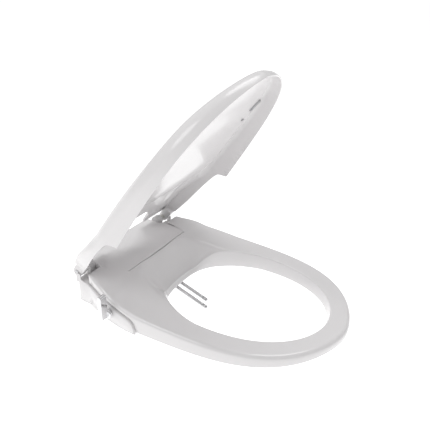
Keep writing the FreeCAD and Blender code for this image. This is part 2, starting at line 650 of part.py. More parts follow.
def make_control():
    """Valve, spindle, hub and lever on an axis that runs out of the right-hand housing."""
    y, z = -size("knob_back"), size("knob_height")
    body = rod("valve_case", (-172, y, z), X_AXIS, "valve_radius", "valve_length")
    outlets = []
    for index in range(2):
        outlets.append(rod("valve_outlet_%d" % index, (-160 + 12 * index, y, z), Y_AXIS, "tube_radius + 2",
                           "outlet_length"))
    bore = rod("valve_bore", (-180, y, z), X_AXIS, "spindle_radius + 0.05", "sleeve_bore_depth")
    cut("valve_body", fuse("valve_whole", body, *outlets), bore)
    rod("spindle", (-size("hub_inner") - 3, y, z), X_AXIS, "spindle_radius", "spindle_length")
    hub, shaft, deep = size("hub_radius"), size("spindle_radius"), size("hub_outer") - size("hub_inner")
    turned("lever_hub", (-size("hub_inner"), y, z), X_AXIS * -1,
           [(shaft, 0), (hub, 0), (hub, deep - 1.5), (hub - 1.5, deep), (0, deep), (0, 3.1), (shaft, 3.1)])
    lever = new_body("lever_bar")
    half = size("lever_width") / 2
    low, high = size("lever_bottom"), size("lever_top")
    curves = [Part.LineSegment(V(y - half, low + half, 0), V(y - half, high - half, 0)),
              Part.LineSegment(V(y + half, low + half, 0), V(y + half, high - half, 0)),
              Part.ArcOfCircle(circle(y, high - half, half), 0, math.pi),
              Part.ArcOfCircle(circle(y, low + half, half), math.pi, 2 * math.pi)]
    side_view = new_sketch(lever, "lever_side", "YZ_Plane", curves, -size("lever_outer"))
    pad(lever, "lever_pad", side_view, "lever_outer - hub_outer")
    seal = rod("seal_ring", (-178.4, y, z), X_AXIS, "spindle_radius + 1.9", "seal_length")
    hole = rod("seal_hole", (-180, y, z), X_AXIS, "spindle_radius + 0.05", "bore_depth")
    cut("spindle_seal", seal, hole)


def tilt_place(x, out):
    """Point on a nozzle's line: out is the distance in front of the place where it passes under the seat."""
    angle = math.radians(size("nozzle_tilt"))
    return (x, -size("nozzle_exit") - out * math.cos(angle), -size("nozzle_drop") - out * math.sin(angle))


def make_nozzles():
    angle = math.radians(size("nozzle_tilt"))
    back = V(0, math.cos(angle), math.sin(angle))
    width, height = size("guide_width"), size("guide_height")
    guide = doc.addObject("Part::Box", "guide_box")
    bind(guide, Length="guide_width", Width="guide_length", Height="guide_height")
    mouth = V(*tilt_place(-width / 2, -size("guide_setback")))
    start = mouth - V(0, -math.sin(angle), math.cos(angle)) * (height / 2)
    guide.Placement = FreeCAD.Placement(start, FreeCAD.Rotation(X_AXIS, size("nozzle_tilt")))
    bores = []
    radius = size("nozzle_radius")
    spigot = radius - 1.05
    for name, side in (("rear", -1), ("front", 1)):
        x = side * size("nozzle_pitch") / 2
        shoulder = size(name + "_nozzle_reach") - size("nozzle_tip")
        bores.append(rod("guide_bore_" + name, tilt_place(x, 2 - size("guide_setback")), back, "guide_bore",
                         "guide_length"))
        tube = rod(name + "_wash_tube_bar", tilt_place(x, shoulder), back, "nozzle_radius",
                   "nozzle_length - nozzle_tip")
        tube_bore = rod(name + "_wash_bore", tilt_place(x, shoulder + 1), back, "nozzle_radius - 1",
                        "nozzle_length")
        cut(name + "_wash_tube", tube, tube_bore)
        turned(name + "_wash_tip", tilt_place(x, shoulder), back * -1,
               [(0, -5), (spigot, -5), (spigot, 0), (radius, 0), (radius, size("nozzle_tip") - 2.5),
                (radius - 1.5, size("nozzle_tip")), (0, size("nozzle_tip"))])
    cut("nozzle_guide", guide, *bores)


def make_water_path():
    rear, height = size("chassis_rear"), size("inlet_height")
    x = -size("inlet_side")
    stub = rod("inlet_stub", (x, rear - 6, height), Y_AXIS, "stub_radius", "stub_length")
    thread = rod("inlet_thread", (x, rear + 0.3, height), Y_AXIS, "inlet_radius", "inlet_length")
    bore = rod("inlet_hole", (x, rear - 10, height), Y_AXIS, "inlet_bore", "slot_length")
    cut("inlet_fitting", fuse("inlet_whole", stub, thread), bore)
    disc = rod("filter_disc", (x, rear - 4, height), Y_AXIS, "inlet_bore - 0.1", "inlet_bore")
    compound("inlet_filter", disc)


make_seat()
make_seat_plate()
make_bumpers()
make_lid()
make_mounting_plate()
make_chassis()
make_cover()
for side_name, side_sign in SIDES:
    make_housing(side_name, side_sign)
    make_hinge(side_name, side_sign)
make_feet()
make_control()
make_nozzles()
make_water_path()
doc.recompute()

NODES = [
    "seat_shell", "seat_bottom_plate", "seat_bumpers", "seat_hinge_bush_right", "seat_hinge_bush_left",
    "lid_shell", "lid_inner_panel", "lid_bumpers", "lid_hinge_bush_right", "lid_hinge_bush_left",
    "mounting_plate", "chassis", "top_cover", "right_side_housing", "left_side_housing",
    "hinge_bracket_right", "hinge_bracket_left", "lid_damper_right", "lid_damper_left",
    "hinge_pin_right", "hinge_pin_left", "base_feet",
    "valve_body", "spindle", "lever_hub", "lever_bar", "spindle_seal",
    "nozzle_guide", "rear_wash_tube", "rear_wash_tip", "front_wash_tube", "front_wash_tip",
    "inlet_fitting", "inlet_filter",
]


def write_parts():
    os.makedirs("parts", exist_ok=True)
    for item in doc.Objects:
        if "Invalid" in item.State or "Error" in item.State:
            raise RuntimeError("%s did not recompute: %s" % (item.Name, item.State))
    for node in NODES:
        piece = doc.getObjectsByLabel(node)[0]
        shape = piece.Shape
        if shape.isNull() or not shape.isValid():
            raise RuntimeError("%s has no valid shape" % node)
        shape.exportStep("parts/%s.step" % node)
        box = shape.BoundBox
        print("%-24s solids %d  volume %8.1f cm3  x %.1f..%.1f  y %.1f..%.1f  z %.1f..%.1f" % (
            node, len(shape.Solids), shape.Volume / 1000,
            box.XMin, box.XMax, box.YMin, box.YMax, box.ZMin, box.ZMax))


write_parts()
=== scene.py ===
"""Looks of a bidet toilet seat with a lever valve and two spray nozzles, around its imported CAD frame.

Metres in the scene. Shapes are worked out in millimetres, in the frame of the CAD model, and scaled
at the end.
"""
import bmesh
import bpy
import math
import numpy as np
from mathutils import Matrix, Vector
from mathutils.geometry import delaunay_2d_cdt


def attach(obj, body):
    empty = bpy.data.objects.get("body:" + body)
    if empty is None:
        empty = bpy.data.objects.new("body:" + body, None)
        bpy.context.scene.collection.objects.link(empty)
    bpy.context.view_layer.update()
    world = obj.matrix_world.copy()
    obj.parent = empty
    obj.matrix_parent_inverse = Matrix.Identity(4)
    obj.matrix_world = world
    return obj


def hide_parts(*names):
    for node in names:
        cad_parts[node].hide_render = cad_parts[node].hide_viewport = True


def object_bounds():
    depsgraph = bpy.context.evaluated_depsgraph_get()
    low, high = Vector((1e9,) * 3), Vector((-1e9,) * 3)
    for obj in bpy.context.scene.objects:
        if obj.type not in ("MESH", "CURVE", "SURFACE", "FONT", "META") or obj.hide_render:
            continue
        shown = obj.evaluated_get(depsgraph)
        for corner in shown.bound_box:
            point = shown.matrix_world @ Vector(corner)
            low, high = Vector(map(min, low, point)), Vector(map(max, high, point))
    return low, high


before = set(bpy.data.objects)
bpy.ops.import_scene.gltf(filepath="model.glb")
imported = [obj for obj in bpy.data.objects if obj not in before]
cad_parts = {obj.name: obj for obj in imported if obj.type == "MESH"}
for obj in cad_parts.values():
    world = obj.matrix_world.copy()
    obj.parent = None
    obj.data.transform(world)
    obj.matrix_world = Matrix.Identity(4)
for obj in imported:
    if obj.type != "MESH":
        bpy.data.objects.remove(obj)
cad_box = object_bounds()

MM = 0.001
SIDES = (("right", -1), ("left", 1))

# ---------------------------------------------------------------- dimensions, millimetres

HALF_WIDTH, FRONT_REACH, TAPER_START, SHOULDER_START = 184.0, 465.1, 90.4, 130.0
REAR_HALF_WIDTH, REAR_CORNER, SEAT_TAIL = 151.5, 5.0, 9.0
HOLE_HALF_WIDTH, HOLE_MIDDLE, HOLE_FRONT, HOLE_REAR = 134.2, 233.0, 190.2, 127.5
FRONT_ALONG, FRONT_ACROSS, SHOULDER_ALONG = 4.23, 1.654, 1.8
HOLE_FRONT_ALONG, HOLE_FRONT_ACROSS, HOLE_REAR_ALONG, HOLE_REAR_ACROSS = 2.309, 1.977, 1.5, 3.0
SEAT_BASE, SHELL_WALL = 3.0, 3.0
NOTCH_FRONT, NOTCH_FRONT_HALF, NOTCH_REAR_HALF = -50.0, 106.4, 113.8
LID_OVERHANG, LID_WALL, LID_EDGE, LID_NOTCH, LID_OPEN = 4.9, 2.7, 5.0, -30.0, 56.6
LID_NOTCH_HALF, LID_REAR, EAR_INNER, EAR_OUTER = 60.0, 23.5, 137.4, 149.6
HINGE_BACK, HINGE_HEIGHT = 38.0, 62.0
KNOB_BACK, KNOB_HEIGHT = 65.5, 22.5

# ---------------------------------------------------------------- curves


def smooth_line(points, level=False):
    """Height as a function of y: a smooth curve through a few points. Level keeps it from overshooting."""
    ys, zs = (np.array(column, float) for column in zip(*points))
    slopes = np.gradient(zs, ys)
    if level:
        chords = np.diff(zs) / np.diff(ys)
        inner = np.where(chords[1:] * chords[:-1] > 0,
                         2 * chords[1:] * chords[:-1] / (chords[1:] + chords[:-1] + 1e-12), 0.0)
        slopes = np.concatenate((chords[:1], inner, chords[-1:]))
    grid = np.arange(ys[0], ys[-1] + 0.5, 0.5)
    left = np.clip(np.searchsorted(ys, grid, side="right") - 1, 0, len(ys) - 2)
    width = ys[left + 1] - ys[left]
    t = np.clip((grid - ys[left]) / width, 0, 1)
    values = ((2 * t ** 3 - 3 * t ** 2 + 1) * zs[left] + (t ** 3 - 2 * t ** 2 + t) * width * slopes[left]
              + (3 * t ** 2 - 2 * t ** 3) * zs[left + 1] + (t ** 3 - t ** 2) * width * slopes[left + 1])
    return lambda y: np.interp(y, grid, values)


def smooth_step(value, low, high):
    t = np.clip((value - low) / (high - low), 0, 1)
    return t * t * (3 - 2 * t)


def outline_half_width(y):
    """Half width of the seat's outline at y, as in the CAD model."""
    y = np.asarray(y, float)
    along = np.clip((-TAPER_START - y) / (FRONT_REACH - TAPER_START), 0, 1)
    front = HALF_WIDTH * (1 - along ** FRONT_ALONG) ** (1 / FRONT_ACROSS)
    back = np.clip((y + SHOULDER_START) / (SHOULDER_START + REAR_CORNER), 0, 1)
    rear = HALF_WIDTH - (HALF_WIDTH - REAR_HALF_WIDTH) * back ** SHOULDER_ALONG
    return np.where(y <= -SHOULDER_START, front, rear)


def spaced(points, spacing):
    """The same open line with its points evenly spaced."""
    points = np.array(points, float)
    run = np.concatenate(([0], np.cumsum(np.linalg.norm(np.diff(points, axis=0), axis=1))))
    steps = max(int(round(run[-1] / spacing)), 1)
    wanted = np.linspace(0, run[-1], steps + 1)
    return np.column_stack([np.interp(wanted, run, points[:, k]) for k in range(points.shape[1])])


def rounded(corners, radii, spacing=4.0):
    """Open line through corners in the plane, with an arc at each inner corner and points along its runs."""
    corners = [np.array(c, float) for c in corners]
    line = [corners[0]]
    for before, corner, after, radius in zip(corners, corners[1:], corners[2:], radii):
        a = (before - corner) / np.linalg.norm(before - corner)
        b = (after - corner) / np.linalg.norm(after - corner)
        half = 0.5 * math.acos(float(np.clip(a @ b, -1, 1)))
        back = radius / math.tan(half)
        centre = corner + (a + b) / np.linalg.norm(a + b) * radius / math.sin(half)
        start, end = corner + a * back - centre, corner + b * back - centre
        turn = math.atan2(start[0] * end[1] - start[1] * end[0], float(start @ end))
        steps = max(4, int(abs(turn) * radius / 1.2))
        for step in range(steps + 1):
            angle = turn * step / steps
            spin = np.array([[math.cos(angle), -math.sin(angle)], [math.sin(angle), math.cos(angle)]])
            line.append(centre + spin @ start)
    line.append(corners[-1])
    filled = [line[0]]
    for a, b in zip(line, line[1:]):
        steps = max(1, int(np.linalg.norm(b - a) / spacing))
        filled.extend(a + (b - a) * step / steps for step in range(1, steps + 1))
    return np.array(filled)


def mirrored(half):
    """Closed loop from its +X half, which runs from the nose to the tail; both ends lie on the middle."""
    other = half[-2:0:-1].copy()
    other[:, 0] *= -1
    return np.vstack((half, other))


def mirrored_values(half):
    return np.concatenate((half, half[-2:0:-1]))


def outward(loop):
    """Outward unit normals of a closed anticlockwise loop."""
    run = np.roll(loop, -1, 0) - np.roll(loop, 1, 0)
    run /= np.maximum(np.linalg.norm(run, axis=1), 1e-9)[:, None]
    return np.column_stack((run[:, 1], -run[:, 0]))


def softened(values, reach):
    """Values along a closed loop, averaged over their neighbours."""
    kernel = np.hanning(2 * reach + 3)[1:-1]
    padded = np.concatenate((values[-reach:], values, values[:reach]))
    return np.convolve(padded, kernel / kernel.sum(), mode="valid")


def nearest(points, loop):
    """Distance of each point from a closed loop, and where on the loop its nearest place is, in points."""
    ahead = np.roll(loop, -1, 0)
    best, place = np.full(len(points), 1e9), np.zeros(len(points))
    for block in np.array_split(np.arange(len(points)), max(1, len(points) // 400)):
        gap = points[block][:, None, :] - loop[None, :, :]
        run = (ahead - loop)[None, :, :]
        t = np.clip((gap * run).sum(2) / np.maximum((run * run).sum(2), 1e-12), 0, 1)
        away = np.linalg.norm(gap - run * t[:, :, None], axis=2)
        index = away.argmin(1)
        rows = np.arange(len(block))
        best[block] = away[rows, index]
        place[block] = index + t[rows, index]
    return best, place


def along_loop(values, place):
    """Values given at a loop's points, read at places between them."""
    return np.interp(place, np.arange(len(values) + 1), np.append(values, values[0]))


def inside_loop(points, loop):
    """True for the points inside a closed loop."""
    x, y = points[:, 0], points[:, 1]
    hits = np.zeros(len(points), bool)
    for (ax, ay), (bx, by) in zip(loop, np.roll(loop, -1, 0)):
        if ay != by:
            hits ^= ((ay > y) != (by > y)) & (x < (bx - ax) * (y - ay) / (by - ay) + ax)
    return hits


def with_height(plan, heights):
    return np.column_stack((plan, np.broadcast_to(heights, len(plan))))


# ---------------------------------------------------------------- meshes


def finish_mesh(name, bm, material, body, replaced=(), sharp=35):
    """Object from a bmesh in millimetres: scaled, shaded, given its material and its body."""
    bmesh.ops.remove_doubles(bm, verts=bm.verts, dist=0.01)
    bmesh.ops.recalc_face_normals(bm, faces=bm.faces)
    bmesh.ops.scale(bm, vec=(MM, MM, MM), verts=bm.verts)
    mesh = bpy.data.meshes.new(name)
    bm.to_mesh(mesh)
    bm.free()
    mesh.materials.append(material)
    mesh.polygons.foreach_set("use_smooth", [True] * len(mesh.polygons))
    mesh.set_sharp_from_angle(angle=math.radians(sharp))
    piece = bpy.data.objects.new(name, mesh)
    bpy.context.scene.collection.objects.link(piece)
    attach(piece, body)
    if replaced:
        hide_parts(*replaced)
    return piece


def skin(rings):
    """bmesh of quads between rings of equally many points; the last ring is joined to the first."""
    bm = bmesh.new()
    rows = [[bm.verts.new(Vector(p)) for p in ring] for ring in rings]
    count = len(rows[0])
    for low, high in zip(rows, rows[1:] + rows[:1]):
        for k in range(count):
            n = (k + 1) % count
            bm.faces.new((low[k], low[n], high[n], high[k]))
    return bm


def slab(loop, depths, spacing, upper, lower, turn=None):
    """bmesh of a moulding with any outline, an open rim of wall between its upper and its lower face.
    Both faces share one net of triangles: the loop, lines inside it at the given depths, and a grid.
    upper and lower give the heights from (points, distance from the loop, place on the loop). turn is a
    matrix put on every point."""
    out = outward(loop)
    points = [loop]
    for depth in depths:
        line = loop - out * depth
        away, _ = nearest(line, loop)
        points.append(line[(away > depth * 0.93) & inside_loop(line, loop)])
    low, high = loop.min(0), loop.max(0)
    count = np.ceil((high - low) / spacing).astype(int) + 1
    lines = [np.linspace(low[k], high[k], count[k]) for k in range(2)]
    grid = np.stack(np.meshgrid(*lines), -1).reshape(-1, 2)
    grid = grid[inside_loop(grid, loop)]
    away, _ = nearest(grid, loop)
    points.append(grid[away > max(depths) + spacing * 0.5])
    plan = np.vstack(points)
    rim = list(range(len(loop)))
    net = delaunay_2d_cdt([Vector(p) for p in plan], [], [rim], 1, 0.05)
    plan = np.array([tuple(p) for p in net[0]])
    away, place = nearest(plan, loop)
    away[away < 0.02] = 0.0
    bm = bmesh.new()
    sheets = []
    for heights in (upper(plan, away, place), lower(plan, away, place)):
        corners = [Vector((x, y, z)) for (x, y), z in zip(plan, heights)]
        if turn is not None:
            corners = [turn @ corner for corner in corners]
        verts = [bm.verts.new(corner) for corner in corners]
        for face in net[2]:
            bm.faces.new([verts[k] for k in face])
        sheets.append(verts)
    used = {}
    for face in net[2]:
        for a, b in zip(face, face[1:] + face[:1]):
            used[(min(a, b), max(a, b))] = used.get((min(a, b), max(a, b)), 0) + 1
    for (a, b), times in used.items():
        if times == 1:
            bm.faces.new((sheets[0][a], sheets[0][b], sheets[1][b], sheets[1][a]))
    return bm


def merge(bm, other):
    """Adds a copy of another bmesh to bm and frees the other."""
    copies = {vert: bm.verts.new(vert.co) for vert in other.verts}
    for face in other.faces:
        bm.faces.new([copies[vert] for vert in face.verts])
    other.free()


def rolled(distance, radius):
    """How far an edge of that radius has fallen at a distance inside the outline."""
    return radius * (1 - np.sqrt(1 - np.clip(1 - distance / radius, 0, 1) ** 2))


def depths_of(radius, steps=6):
    """Distances inside the outline that follow a rounded edge in even turns."""
    return [radius * (1 - math.cos(0.5 * math.pi * step / steps)) for step in range(1, steps + 1)]


def add_bevel(piece, width, segments=3, angle=30):
    """Rounds the hard edges of a piece."""
    bevel = piece.modifiers.new("rounded_edges", "BEVEL")
    bevel.width = width * MM
    bevel.segments = segments
    bevel.limit_method = "ANGLE"
    bevel.angle_limit = math.radians(angle)
    bevel.harden_normals = True
    return piece


def quarter(steps):
    """Angles of a quarter turn, in even steps."""
    return [0.5 * math.pi * step / steps for step in range(steps + 1)]


LID_TURN = (Matrix.Translation((0, HINGE_BACK, HINGE_HEIGHT))
            @ Matrix.Rotation(math.radians(-LID_OPEN), 4, "X")
            @ Matrix.Translation((0, -HINGE_BACK, -HINGE_HEIGHT)))

# ---------------------------------------------------------------- materials

NOISE_LOW, NOISE_HIGH = 0.3, 0.7


def new_material(name):
    material = bpy.data.materials.new(name)
    material.use_nodes = True
    nodes, links = material.node_tree.nodes, material.node_tree.links
    shader = nodes["Principled BSDF"]
    return material, nodes, links, shader


def noise(nodes, links, coordinates, scale, detail=3.0, roughness=0.5, stretch=None):
    """Factor socket of a noise texture over the object's own coordinates."""
    texture = nodes.new("ShaderNodeTexNoise")
    texture.inputs["Scale"].default_value = scale
    texture.inputs["Detail"].default_value = detail
    texture.inputs["Roughness"].default_value = roughness
    source = coordinates
    if stretch:
        mapping = nodes.new("ShaderNodeMapping")
        mapping.inputs["Scale"].default_value = stretch
        links.new(coordinates, mapping.inputs["Vector"])
        source = mapping.outputs["Vector"]
    links.new(source, texture.inputs["Vector"])
    return texture.outputs["Fac"]


def ramp(nodes, links, factor, stops):
    """Colour ramp over a factor; stops are two (place, colour) pairs."""
    node = nodes.new("ShaderNodeValToRGB")
    for element, (place, colour) in zip(node.color_ramp.elements, stops):
        element.position = place
        element.color = (*colour, 1)
    links.new(factor, node.inputs["Fac"])
    return node.outputs["Color"]


def spread(nodes, links, factor, low, high):
    """A noise factor, brought from the range that noise mostly has to low..high."""
    node = nodes.new("ShaderNodeMapRange")
    node.inputs["From Min"].default_value = NOISE_LOW
    node.inputs["From Max"].default_value = NOISE_HIGH
    node.inputs["To Min"].default_value = low
    node.inputs["To Max"].default_value = high
    links.new(factor, node.inputs["Value"])
    return node.outputs["Result"]


def bumps(nodes, links, shader, layers):
    """Chain of bump nodes; layers are (height socket, strength, distance in millimetres)."""
    normal = None
    for height, strength, distance in layers:
        node = nodes.new("ShaderNodeBump")
        node.inputs["Strength"].default_value = strength
        node.inputs["Distance"].default_value = distance * MM
        links.new(height, node.inputs["Height"])
        if normal:
            links.new(normal, node.inputs["Normal"])
        normal = node.outputs["Normal"]
    links.new(normal, shader.inputs["Normal"])


def shade(colour, factor):
    return tuple(min(1.0, c * factor) for c in colour)


def moulded(name, colour, gloss, peel=0.05, grain=0.0, coat=0.0):
    """Injection-moulded plastic: faint flow clouds, orange peel, fine wipe marks in its gloss."""
    material, nodes, links, shader = new_material(name)
    place = nodes.new("ShaderNodeTexCoord").outputs["Object"]
    clouds = noise(nodes, links, place, 9, 4, 0.55)
    wipes = noise(nodes, links, place, 60, 5, 0.7, stretch=(1, 7, 2))
    tones = [(NOISE_LOW, shade(colour, 0.985)), (NOISE_HIGH, shade(colour, 1.01))]
    links.new(ramp(nodes, links, clouds, tones), shader.inputs["Base Color"])
    links.new(spread(nodes, links, wipes, gloss * 0.85, gloss * 1.25), shader.inputs["Roughness"])
    shader.inputs["IOR"].default_value = 1.5
    shader.inputs["Coat Weight"].default_value = coat
    shader.inputs["Coat Roughness"].default_value = 0.06
    layers = [(noise(nodes, links, place, 420, 2), peel, 0.05)]
    if grain:
        layers.append((noise(nodes, links, place, 900, 2), grain, 0.08))
    bumps(nodes, links, shader, layers)
    return material


def brushed_metal(name, colour, gloss, along=(1, 1, 40), lines=0.15):
    """Drawn or polished metal: fine lines across the draw, smudges in the gloss."""
    material, nodes, links, shader = new_material(name)
    place = nodes.new("ShaderNodeTexCoord").outputs["Object"]
    smudge = noise(nodes, links, place, 70, 4, 0.6)
    scratch = noise(nodes, links, place, 500, 3, 0.6, stretch=along)
    tones = [(NOISE_LOW, shade(colour, 0.93)), (NOISE_HIGH, shade(colour, 1.03))]
    links.new(ramp(nodes, links, smudge, tones), shader.inputs["Base Color"])
    shader.inputs["Metallic"].default_value = 1.0
    links.new(spread(nodes, links, scratch, gloss * 0.8, gloss * 1.3), shader.inputs["Roughness"])
    bumps(nodes, links, shader, [(scratch, lines, 0.02)])
    return material


def rubber(name, colour):
    """Matt elastomer: dusty tone and a fine moulded grain."""
    material, nodes, links, shader = new_material(name)
    place = nodes.new("ShaderNodeTexCoord").outputs["Object"]
    dust = noise(nodes, links, place, 120, 5, 0.65)
    links.new(ramp(nodes, links, dust, [(0.35, shade(colour, 0.9)), (0.7, shade(colour, 1.12))]),
              shader.inputs["Base Color"])
    links.new(spread(nodes, links, dust, 0.5, 0.72), shader.inputs["Roughness"])
    bumps(nodes, links, shader, [(noise(nodes, links, place, 1500, 2), 0.25, 0.06)])
    return material


FLOOR_GLOW = 0.55


def paper_floor():
    """Pale sweep of the studio, that glows a little so that it stays white under soft light."""
    material, nodes, links, shader = new_material("studio_floor")
    place = nodes.new("ShaderNodeTexCoord").outputs["Object"]
    fibre = noise(nodes, links, place, 30, 6, 0.6)
    links.new(ramp(nodes, links, fibre, [(NOISE_LOW, (0.93,) * 3), (NOISE_HIGH, (0.96,) * 3)]),
              shader.inputs["Base Color"])
    shader.inputs["Roughness"].default_value = 0.9
    shader.inputs["Specular IOR Level"].default_value = 0.1
    shader.inputs["Emission Color"].default_value = (1, 1, 1, 1)
    shader.inputs["Emission Strength"].default_value = FLOOR_GLOW
    return material


GLOSS_WHITE = (0.80, 0.785, 0.79)
SEAT_PLASTIC = moulded("seat_gloss_plastic", GLOSS_WHITE, 0.16, coat=0.5)
LID_PLASTIC = moulded("lid_gloss_plastic", GLOSS_WHITE, 0.2, coat=0.2)
COVER_PLASTIC = moulded("cover_gloss_plastic", shade(GLOSS_WHITE, 0.985), 0.2, coat=0.3)
HOUSING_PLASTIC = moulded("housing_gloss_plastic", GLOSS_WHITE, 0.18, coat=0.4)
BASE_PLASTIC = moulded("base_satin_plastic", shade(GLOSS_WHITE, 0.93), 0.34, peel=0.08, grain=0.05)
INNER_PLASTIC = moulded("inner_grained_plastic", shade(GLOSS_WHITE, 0.8), 0.42, peel=0.1, grain=0.12)
BUSH_PLASTIC = moulded("bush_acetal", (0.62, 0.61, 0.58), 0.36, peel=0.06)
DAMPER_PLASTIC = moulded("damper_plastic", (0.18, 0.185, 0.2), 0.34, peel=0.08, grain=0.08)
BUMPER_RUBBER = rubber("bumper_rubber", (0.42, 0.42, 0.43))
SEAL_RUBBER = rubber("seal_rubber", (0.06, 0.06, 0.065))
PIN_STEEL = brushed_metal("pin_steel", (0.56, 0.56, 0.57), 0.3, along=(40, 1, 1))
NOZZLE_STEEL = brushed_metal("nozzle_steel", (0.66, 0.66, 0.67), 0.2, along=(1, 12, 12), lines=0.08)
LEVER_CHROME = brushed_metal("lever_chrome", (0.82, 0.82, 0.83), 0.09, along=(2, 2, 20), lines=0.03)
BRASS = brushed_metal("valve_brass", (0.78, 0.6, 0.32), 0.3, along=(12, 1, 1))

# ---------------------------------------------------------------- seat

# side views, as (y, z): the middle of the deck, its sides, and the line above the side housings
SEAT_TOP = smooth_line([(-490, 19), (-300, 30.5), (-170, 39), (-110, 48), (-75, 57.6), (-50, 64.4),
                        (-18, 65.2), (30, 65.4)])
SEAT_SIDE = smooth_line([(-490, 19), (-300, 29.5), (-170, 36.5), (-142, 38), (-90, 45), (-61, 51),
                         (-47, 56.5), (-33, 60.5), (-20, 63.2), (-5, 64.8), (30, 65.4)])
ARCH = smooth_line([(-131, 4), (-122, 23), (-104, 29), (-62, 36), (-20, 41), (9, 45)], level=True)
DECK_HALF, DECK_SIDE = 80.0, 120.0
LIP_HEIGHT, SCOOP_DEEP, SCOOP_HALF, SCOOP_FADE = 13.0, 62.0, 45.0, 118.0
SEAT_EDGE, NOTCH_EDGE, NOTCH_LOW, SIDE_EDGE_MIN = 7.0, 1.3, 47.0, 3.0
ARCH_START, ARCH_GAP, SIDE_LEAN = -131.0, 1.5, 1.4
RIM_EDGE, RIM_LEAN, FOOT_LIFT, CEILING_GAP, CEILING_SINK = 3.2, 2.0, 0.6, 1.5, 2.5


def seat_height(plan):
    """Upper surface of the seat: crowned across the deck, and falling to a low lip over the nozzles."""
    x, y = np.abs(plan[:, 0]), plan[:, 1]
    beside = smooth_step(x, DECK_HALF, np.maximum(outline_half_width(y), DECK_SIDE))
    height = SEAT_TOP(y) * (1 - beside) + SEAT_SIDE(y) * beside
    across = np.maximum(1 - (x / HOLE_HALF_WIDTH) ** HOLE_REAR_ACROSS, 0)
    rim = -HOLE_MIDDLE + HOLE_REAR * across ** (1 / HOLE_REAR_ALONG)
    near_lip = 1 - smooth_step(y - rim, 0, SCOOP_DEEP)
    near_middle = 1 - smooth_step(x, SCOOP_HALF, SCOOP_FADE)
    return height + (LIP_HEIGHT - height) * near_lip * near_middle * (y > -HOLE_MIDDLE)


def outline_half(outset, rear):
    """+X half of the outline from the nose to y = rear, moved outwards."""
    turn = np.linspace(0, 0.5 * math.pi, 240)
    y = -FRONT_REACH + (FRONT_REACH + REAR_CORNER) * (1 - np.cos(turn))
    line = np.column_stack((outline_half_width(y), y))
    line[0, 0] = 0
    loop = np.vstack((line, line[-2:0:-1] * (-1, 1)))
    line = line + outward(loop)[:len(line)] * outset
    line[0, 0] = 0
    line = line[line[:, 1] <= rear]
    return spaced(line, 3.0)


def hole_half():
    """+X half of the opening, from its front to its rear: an oval front and a blunter rear."""
    turn = np.linspace(0, 0.5 * math.pi, 120)
    along = np.cos(turn)
    wide = np.maximum(0, 1 - along ** HOLE_FRONT_ALONG) ** (1 / HOLE_FRONT_ACROSS)
    front = np.column_stack((HOLE_HALF_WIDTH * wide, -HOLE_MIDDLE - HOLE_FRONT * along))
    along = np.sin(turn)
    wide = np.maximum(0, 1 - along ** HOLE_REAR_ALONG) ** (1 / HOLE_REAR_ACROSS)
    rear = np.column_stack((HOLE_HALF_WIDTH * wide, -HOLE_MIDDLE + HOLE_REAR * along))
    return spaced(np.vstack((front, rear[1:])), 1.0)


def travel(line):
    return np.concatenate(([0], np.cumsum(np.linalg.norm(np.diff(line, axis=0), axis=1))))


def matched(line, other, pairs):
    """Points of another line that face those of line; pairs hold points known to face each other."""
    mine, theirs = travel(line), travel(other)
    knots = [(mine[np.argmin(np.linalg.norm(line - a, axis=1))],
              theirs[np.argmin(np.linalg.norm(other - b, axis=1))])
             for a, b in pairs]
    a, b = (np.array(column) for column in zip(*knots))
    place = np.interp(mine, a, b)
    reach = 16
    kernel = np.hanning(2 * reach + 1)
    before = 2 * place[0] - place[reach:0:-1]
    after = 2 * place[-1] - place[-2:-reach - 2:-1]
    place = np.convolve(np.concatenate((before, place, after)), kernel / kernel.sum(), mode="valid")
    return np.column_stack([np.interp(place, theirs, other[:, k]) for k in range(2)])


# points of the outline and of the opening that face each other, for the lines between the two
FACING = [((0, -465), (0, -423)), ((184, -215), (134.2, -233)), ((182, -110), (113, -168)),
          ((151, 0), (84, -126)), ((107, -50), (62, -114)), ((0, -50), (0, -105.5))]
CROWN_STEPS = 30


